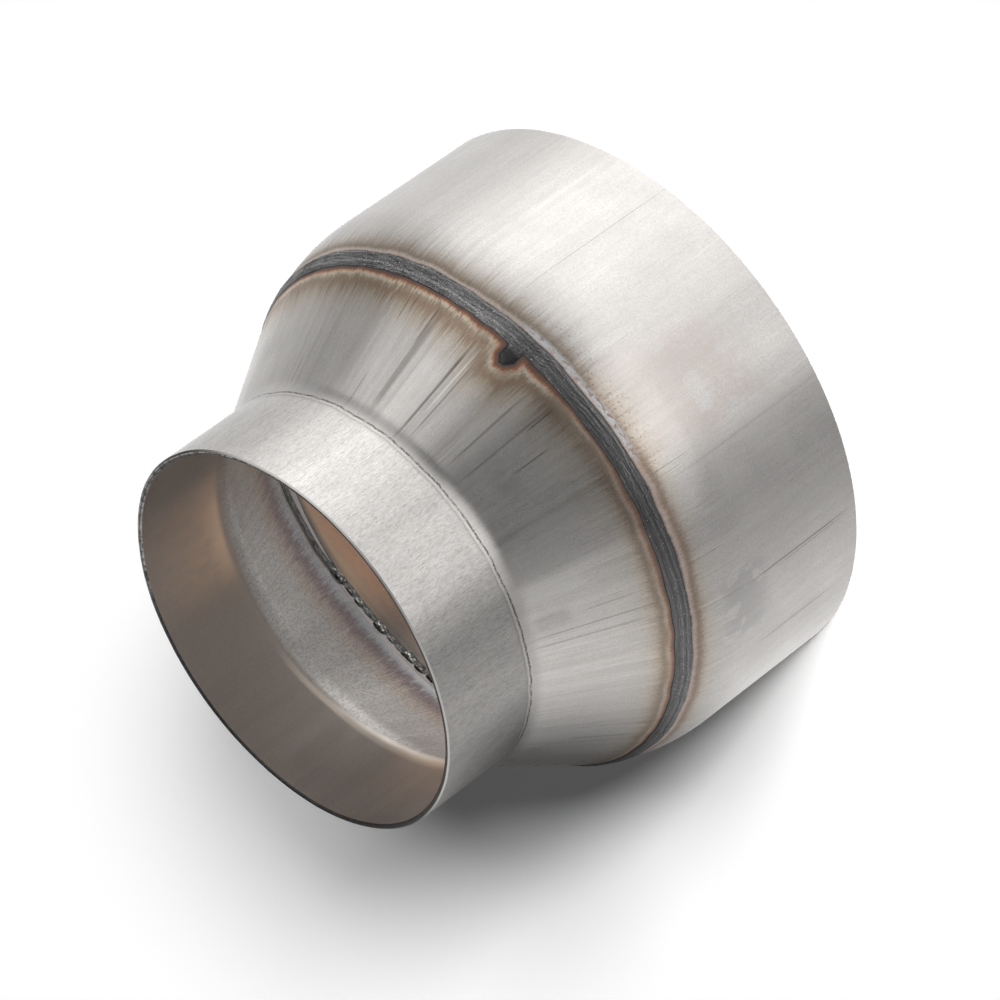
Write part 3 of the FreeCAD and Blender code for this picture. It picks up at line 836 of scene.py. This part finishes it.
def cone_outside():
    """The cone and the small collar: draw marks along the axis, scratches, and heat tint by the weld."""
    g = Skin("cone_outside")
    on_small = g.along(AT_COLLAR / MM - 2, AT_COLLAR / MM)
    on_cone = g.product(g.along(1, 6), g.along(32, 29))
    streaky = g.math("ADD", g.math("MULTIPLY_ADD", on_cone, 0.26, 0.28), g.product(on_small, 0.25))
    soiled = g.math("MULTIPLY_ADD", on_small, 0.85, 0.15)
    colour, roughness, normal, draws = steel_surface(g, STEEL, ROUGH_OUTSIDE, streaky, soiled)
    streaks = g.spread(2.0, 90, 3.0, 0.6, offset=27.0)
    colour = g.cover(colour, (0.30, 0.27, 0.24), g.span(streaks, 0.56, 0.70, 0, 0.18), on_cone)
    colour = g.cover(colour, shade(STEEL, 1.2), g.span(streaks, 0.42, 0.30, 0, 0.10), on_cone)
    tone = g.mix(g.along(31.4, 32.8), tones(g, CONE_TONES), tones(g, SMALL_TONES))
    colour = g.filtered(colour, tone)
    colour = lay_marks(g, colour, CONE_MARKS, CONE_MARK_RADIUS, draws)
    colour = g.filtered(forming_line(g, colour), cone_tint(g))
    return g.finish(colour, roughness, normal, STRETCH_OUTSIDE)


def collar_outside():
    """The shoulder and the large collar: as the cone, but cleaner, with cloudy stains and flakes of scale."""
    g = Skin("collar_outside")
    streaky = g.math("ADD", g.along(-20, -7, 0, 0.45), 0.28)
    colour, roughness, normal, draws = steel_surface(g, STEEL, ROUGH_OUTSIDE, streaky, 0.15)
    colour = stains(g, g.filtered(colour, tones(g, COLLAR_TONES)))
    colour = lay_marks(g, colour, COLLAR_MARKS, COLLAR_MARK_RADIUS, draws)
    tint = outside_tint(g, tint_distance(g), TINT_COLLAR_WIDE, TINT_COLLAR_PALE)
    colour = scale_flakes(g, g.filtered(colour, tint))
    return g.finish(colour, roughness, normal, STRETCH_OUTSIDE)


def steel_inside():
    """The tubes' inside: duller than the outside, finely pitted, with the colours that the heat left and
    painted highlights inside the neck.
    """
    g = Skin("steel_inside")
    on_cone = g.product(g.along(1, 4), g.along(34, 31.5))
    streaky = g.math("MULTIPLY_ADD", on_cone, 0.7, 0.1)
    colour, roughness, normal, _ = steel_surface(g, STEEL_INSIDE, ROUGH_INSIDE, streaky, on_cone)
    pits = g.spread(0.5, 0.7, 3.0, 0.75, offset=29.0)
    colour = g.cover(colour, (0.25, 0.235, 0.225), g.span(pits, 0.48, 0.66, 0, 0.7), on_cone)
    tone = g.mix(g.along(31.5, 34), tones(g, INSIDE_CONE_TONES), tones(g, INSIDE_SMALL_TONES))
    colour = g.filtered(colour, tone)
    # A warm patch inside the neck: heat colour with a painted highlight, and a brighter painted highlight in
    # its middle.
    warm_tint_and_highlight = g.product(
        g.span(g.spread(3, 4, 3, 0.65, offset=53.0), 0.36, 0.62, 0.55, 1),
        g.side(48, 0.92, 0.995),
        g.along(33.4, 34.8),
        g.along(54, 36, 0.2, 1),
    )
    colour = g.cover(colour, (0.80, 0.66, 0.54), warm_tint_and_highlight, 0.85)
    golden_highlight = g.product(g.side(50, 0.96, 0.998), g.along(33.8, 34.6), g.along(39, 35.5))
    colour = g.cover(colour, (0.97, 0.84, 0.70), golden_highlight, 0.6)
    amber = g.product(g.side(70, 0.86, 0.98), g.along(-1, -3), g.along(-26, -18))
    colour = g.cover(colour, (0.96, 0.79, 0.62), amber, 0.8)
    # Painted highlight: a pale arc along the inside of the neck, its place and width changing round the axis.
    highlight_middle = g.span(g.turn_deg, 96, 150, 34.5, 32.2)
    highlight_half = g.span(g.turn_deg, 112, 150, 1.15, 2.6)
    off_highlight = g.math("DIVIDE", g.apart(g.along_mm, highlight_middle), highlight_half)
    neck_highlight = g.product(
        g.span(off_highlight, 1, 0.25, smooth=True),
        g.span(g.turn_deg, 84, 114, smooth=True),
        g.span(g.turn_deg, 178, 152, smooth=True),
    )
    colour = g.filtered(g.cover(colour, (0.97, 0.93, 0.87), neck_highlight), root_tint(g))
    normal = g.bump(pits, 0.20, 0.06, normal)
    return g.finish(colour, roughness, normal, STRETCH_INSIDE)


def cut_steel():
    """The square-cut ends of the tubes: near black for their painted dark reflection, a broken painted
    highlight line, and painted highlights on the corners facing the light.
    """
    g = Skin("cut_edge")
    marks = g.spread(0.4, 0.25)
    # Painted highlight spots, broken by noise and on the side facing 0 degrees.
    broken_glints = g.span(g.spread(1.5, 0.6, 3, 0.7, offset=51.0), 0.42, 0.54)
    broken_glints = g.product(broken_glints, g.side(0, 0.45, 0.80))
    facing = g.node("NewGeometry").outputs["Normal"]
    outward = g.vector("DOT_PRODUCT", facing, g.lie, out="Value")
    # Painted shade: the cut faces are near black, for the dark reflection they show.
    colour = g.mix(g.span(marks, 0.4, 0.62), (0.060, 0.055, 0.052), (0.030, 0.028, 0.027))
    highlight_line = g.span(g.apart(g.edge_mm, 0.52), 0.16, 0.06)
    colour = g.cover(colour, (0.34, 0.33, 0.32), highlight_line, broken_glints, 0.9)
    colour = g.cover(colour, (0.42, 0.40, 0.38), g.span(outward, -0.3, -0.5), broken_glints)
    # Painted highlight on the outer corner, on the side facing -100 degrees.
    colour = g.cover(colour, (0.50, 0.49, 0.47), g.span(outward, 0.3, 0.5), g.side(-100, 0, 0.5))
    return g.finish(colour, 0.36, g.bump(marks, 0.3, 0.05))


def weld_outside():
    """Oxidised, wire-brushed weld metal: dark grey with fine lines along the weld, painted highlight and
    shade lines across it, painted glint specks, and painted shade at its toe.
    """
    g = Skin("weld_cap")
    lines = g.spread(3.0, 0.20, 3.0, 0.65)
    fuzz = g.spread(0.34, 0.26, 3.0, 0.65, offset=6.0)
    broad = g.spread(9, 0.8, offset=4.0)
    patches = g.spread(20, 40, 1.0, 0.5, offset=5.0)
    glint_speck_noise = g.spread(0.42, 0.32, 1.0, 0.5, offset=8.0)
    wander = g.swing(g.spread(14, 1e5, 3.0, 0.5, offset=10.0), 0.7)
    twice = g.math("MULTIPLY_ADD", g.turn_deg, math.pi / 90, 2 * CAP_SWAY_TURN)
    middle = g.product(g.math("COSINE", twice), CAP_SWAY / MM)
    across = g.math("ADD", g.math("SUBTRACT", g.along_mm, middle), wander)
    lump_side = g.side(-38, 0.75, 0.90)
    other_side = g.math("SUBTRACT", 1.0, lump_side)

    colour = g.mix(g.span(lines, 0.36, 0.66), (0.062, 0.060, 0.060), (0.32, 0.315, 0.315))
    for noise, low, high, amount, tone in (
        (fuzz, 0.50, 0.62, 0.85, (0.045, 0.043, 0.043)),
        (fuzz, 0.45, 0.30, 0.65, (0.46, 0.455, 0.455)),
        (broad, 0.50, 0.62, 0.5, (0.080, 0.078, 0.079)),
        (patches, 0.40, 0.62, 0.4, (0.26, 0.255, 0.255)),
    ):
        colour = g.cover(colour, tone, g.span(noise, low, high), amount)
    # Painted reflection, different on either side of the object: a flatter grey on the far side from the
    # lump, and below, lines at given places across the cap, partly brushing lines and partly painted
    # highlights and shade on its crown.
    colour = g.cover(colour, (0.150, 0.150, 0.153), other_side, 0.60)
    for place, half_width, tone, amount, where in (
        (0.55, 0.26, (0.44, 0.435, 0.44), 0.80, lump_side),
        (-1.00, 0.22, (0.06, 0.055, 0.055), 0.60, lump_side),
        (0.05, 0.20, (0.42, 0.415, 0.42), 0.38, other_side),
        (-1.10, 0.18, (0.40, 0.39, 0.39), 0.45, other_side),
        (-0.62, 0.14, (0.05, 0.05, 0.05), 0.60, other_side),
        (0.95, 0.14, (0.05, 0.05, 0.05), 0.55, other_side),
    ):
        line = g.line(across, place, half_width)
        colour = g.cover(colour, tone, line, g.span(fuzz, 0.62, 0.42), where, amount)
    # Painted glints: small white specks, more of them on the lump's side.
    glint_specks = g.product(g.span(glint_speck_noise, 0.735, 0.755), g.span(lump_side, 0, 1, 0.6, 1))
    colour = g.cover(colour, (0.90, 0.90, 0.91), glint_specks)
    colour = g.filtered(colour, tones(g, WELD_TONES))
    colour = g.cover(colour, (0.040, 0.040, 0.043), g.along(2.6, 3.2, 0, 0.85))
    # Painted shade: a dark line along the cap's toe, strongest on the side facing -75 degrees.
    toe_shade = g.product(g.off_edge(0.22, 0.06, 0, 0.85), g.span(g.toward(-75), 0, 0.6, 0.3, 1))
    colour = g.cover(colour, (0.020, 0.016, 0.016), toe_shade)
    normal = g.bump(lines, 0.45, 0.06)
    normal = g.bump(fuzz, 0.50, 0.06, normal)
    return g.finish(colour, g.span(lines, 0.3, 0.7, 0.50, 0.36), normal)


def weld_inside():
    """The root bead: dark oxide with painted highlights on its drops, on a film of tinted metal."""
    g = Skin("weld_root")
    patches = g.spread(1.2, 0.8, 3.0, 0.65)
    crust = g.mix(g.span(patches, 0.35, 0.55), (0.026, 0.028, 0.028), (0.11, 0.112, 0.105))
    # Painted highlights: pale grey on the tops of the drops.
    crust = g.cover(crust, (0.52, 0.51, 0.49), g.span(patches, 0.53, 0.60), g.off_edge(0.30, 0.55))
    colour = g.mix(g.off_edge(0.045, 0.11), (0.26, 0.24, 0.235), crust)
    return g.finish(colour, 0.30, g.bump(patches, 0.6, 0.18))


def build_object():
    rng = np.random.default_rng(7)
    weld_line = WeldLine(rng)
    inside, cut = steel_inside(), cut_steel()
    near_weld = 9.0 * MM
    cone_places = [ROOT_GAP / 2, near_weld, AT_NECK - 2 * MM, AT_COLLAR]
    collar_places = [-ROOT_GAP / 2, -near_weld, AT_SHOULDER]
    cone = shell_piece("small_tube", cone_places, AT_SMALL_RIM, weld_line, rng)
    collar = shell_piece("large_tube", collar_places, AT_LARGE_RIM, weld_line, rng)
    weld = weld_piece(weld_line, rng)
    for piece, node, slot, materials in (
        (cone, "small_end_cone", "cone_steel", (cone_outside(), inside, cut)),
        (collar, "large_end_collar", "collar_steel", (collar_outside(), inside, cut)),
        (weld, "weld_bead", "weld_metal", (weld_outside(), weld_inside())),
    ):
        for material in materials:
            piece.data.materials.append(material)
        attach(piece, "root")
        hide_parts(node)


def direction(azimuth, elevation):
    """A unit vector from angles in degrees."""
    a = math.radians(azimuth)
    e = math.radians(elevation)
    return (math.cos(e) * math.cos(a), math.cos(e) * math.sin(a), math.sin(e))


WHITE = (1.0, 1.0, 1.0, 1.0)
# The soft light on the floor, which stays low because the two lamps light it too
SOFT = 0.04


def light_world():
    """White behind everything that is seen, also in metal and glass, and a plain soft light."""
    world = bpy.data.worlds.new("studio")
    bpy.context.scene.world = world
    g = Graph(world)
    soft = g.node("Background", {"Color": WHITE, "Strength": SOFT})
    white = g.node("Background", {"Color": WHITE, "Strength": 1.0})
    g.node("OutputWorld", {"Surface": where_seen(g, soft, white)})
    world.cycles.sampling_method = "NONE"


def where_seen(g, unseen, seen):
    """The second shader for camera, glossy and transmission rays, and the first one for all others."""
    path = g.node("LightPath").outputs
    either = g.math("MAXIMUM", path["Is Camera Ray"], path["Is Glossy Ray"])
    either = g.math("MAXIMUM", either, path["Is Transmission Ray"])
    return g.node("MixShader", {0: either, 1: unseen.outputs[0], 2: seen.outputs[0]}).outputs[0]


# The net dims the white studio in the metal's reflections down to its own level, except where its lights
# are: azimuth, elevation, strength, and how many degrees from their middle they are full and end
NET_LEVEL = 0.175
NET_LIGHTS = [
    (-34, -28, 0.98, 0, 49),
    (-99, -11, 1.15, 0, 39),
    (46, -72, 0.86, 0, 92),
    (-16, 45, 1.08, 0, 46),
    (43, 12, 0.17, 29, 38),
    (-149, 37, 0.39, 7, 19),
]


def net_material():
    """Grey net that lets the white background through, thinner and then glowing where the lights are."""
    material = bpy.data.materials.new("studio_net")
    g = Graph(material)
    looking = g.vector("NORMALIZE", g.node("TexCoord").outputs["Object"])
    level = NET_LEVEL
    for azimuth, elevation, strength, full, end in NET_LIGHTS:
        facing = g.vector("DOT_PRODUCT", looking, direction(azimuth, elevation), out="Value")
        low = math.cos(math.radians(end))
        high = math.cos(math.radians(full))
        level = g.math("ADD", level, g.span(facing, low, high, 0, strength, smooth=True))
    through = g.node("BsdfTransparent", {"Color": g.math("MINIMUM", level, 1.0)})
    extra = g.math("MAXIMUM", g.math("SUBTRACT", level, 1.0), 0.0)
    glow = g.node("Emission", {"Color": WHITE, "Strength": extra})
    both = g.node("AddShader", {0: through.outputs[0], 1: glow.outputs[0]})
    g.node("OutputMaterial", {"Surface": both.outputs[0]})
    return material


def stage_piece(name, mesh, material):
    """A piece of the studio."""
    mesh.materials.append(material)
    made = add_object(name, mesh)
    return made


def plate(name, size, material):
    """A square flat piece of the studio, facing up."""
    half = size / 2
    mesh = bpy.data.meshes.new(name)
    corners = [(-half, -half, 0), (half, -half, 0), (half, half, 0), (-half, half, 0)]
    mesh.from_pydata(corners, [], [(0, 1, 2, 3)])
    return stage_piece(name, mesh, material)


NET_ROUNDS = 48
NET_ROWS = 24


def net(radius):
    """A ball of net round the whole studio, flat at its poles."""
    azimuths = np.linspace(0, 360, NET_ROUNDS, endpoint=False)
    elevations = np.linspace(-90, 90, NET_ROWS + 2)[1:-1]
    places = [tuple(radius * part for part in direction(a, e)) for e in elevations for a in azimuths]
    index = np.arange(NET_ROWS * NET_ROUNDS).reshape(NET_ROWS, NET_ROUNDS)
    beside = np.roll(index, -1, axis=1)
    sides = np.stack([index[:-1], beside[:-1], beside[1:], index[1:]], -1).reshape(-1, 4).tolist()
    mesh = bpy.data.meshes.new("studio_net")
    mesh.from_pydata(places, [], [*sides, index[0, ::-1].tolist(), index[-1].tolist()])
    return stage_piece("studio_net", mesh, net_material())


def floor_material():
    """White where it is lit, and it keeps the object's shadow."""
    material = bpy.data.materials.new("floor_white")
    g = Graph(material)
    pale = g.node("BsdfDiffuse", {"Color": (0.97, 0.97, 0.97, 1.0)})
    glow = g.node("Emission", {"Color": WHITE, "Strength": SOFT})
    lifted = g.node("AddShader", {0: pale.outputs[0], 1: glow.outputs[0]})
    g.node("OutputMaterial", {"Surface": where_seen(g, pale, lifted)})
    return material


# The painted contact shadow on the table card: its middle and half sizes in the card's own metres
SHADOW_MIDDLE = (0.089, 0.036, 0.0)
SHADOW_HALVES = (0.170, 0.090, 1.0)


def card_material():
    """The table as the metal sees it, a glowing card with painted light: bright beside the large end, grey in
    front, and a painted shadow under the object.
    """
    material = bpy.data.materials.new("table_card")
    g = Graph(material)
    place = g.node("TexCoord").outputs["Object"]
    split = g.node("SeparateXYZ", {0: place})
    level = g.span(split.outputs[0], -0.290, 0.050, 0.40, 1.09, smooth=True)
    away = g.vector("DIVIDE", g.vector("SUBTRACT", place, SHADOW_MIDDLE), SHADOW_HALVES)
    away = g.vector("LENGTH", away, out="Value")
    level = g.product(level, g.span(away, 1, 0.64, 1, 0.09, smooth=True))
    glow = g.node("Emission", {"Color": WHITE, "Strength": level})
    g.node("OutputMaterial", {"Surface": glow.outputs[0]})
    return material


def only_in_reflections(piece):
    piece.visible_camera = False
    piece.visible_diffuse = False
    piece.visible_shadow = False


# The two lamps that light the floor: azimuth, elevation, width of the disc in degrees, and energy
KEYS = [("key_low", -82, 23, 10, 4.2), ("key_high", -72, 31, 14, 2.61)]

# The studio's sizes, and how far the floor and the table card lie under what stands on them
FLOOR_SIZE = 30.0
CARD_SIZE = 1.8
NET_RADIUS = 8.0
FLOOR_GAP = 0.02 * MM
CARD_GAP = 0.5 * MM


def build_stage():
    light_world()
    for name, azimuth, elevation, angle, energy in KEYS:
        sun = add_object(name, bpy.data.lights.new(name, "SUN"))
        sun.data.energy = energy
        sun.data.angle = math.radians(angle)
        sun.rotation_euler = Vector(direction(azimuth, elevation)).to_track_quat("Z", "Y").to_euler()
        sun.visible_glossy = False

    floor = plate("floor", FLOOR_SIZE, floor_material())
    floor.location.z = -FLOOR_GAP
    floor.visible_glossy = False
    only_in_reflections(net(NET_RADIUS))

    # The card lies in the photograph's table plane: its x runs across the tubes' axis and its y along it
    card = plate("table_card", CARD_SIZE, card_material())
    away = -TABLE_UP
    side = Vector((away.x, away.y, 0)).normalized()
    touch = side * SMALL_RADIUS + Vector((0, 0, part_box("small_end_cone")[1].z))
    card.location = TABLE_UP * touch.dot(TABLE_UP) + away * CARD_GAP
    along_y = (Vector((0, 0, 1)) - TABLE_UP * TABLE_UP.z).normalized()
    across_x = along_y.cross(TABLE_UP)
    card.rotation_euler = Matrix((across_x, along_y, TABLE_UP)).transposed().to_euler()
    only_in_reflections(card)


def place_camera():
    data = bpy.data.cameras.new("camera")
    data.lens = CAMERA_LENS
    data.sensor_width = 36.0
    data.clip_end = 100.0
    camera = add_object("camera", data)
    tilt = Matrix.Rotation(CAMERA_TILT, 4, "X")
    roll = Matrix.Rotation(CAMERA_ROLL, 4, "Z")
    camera.matrix_world = Matrix.Translation(CAMERA_PLACE) @ tilt @ roll
    bpy.context.scene.camera = camera


build_object()
build_stage()
place_camera()
bpy.context.scene.view_settings.view_transform = "Standard"
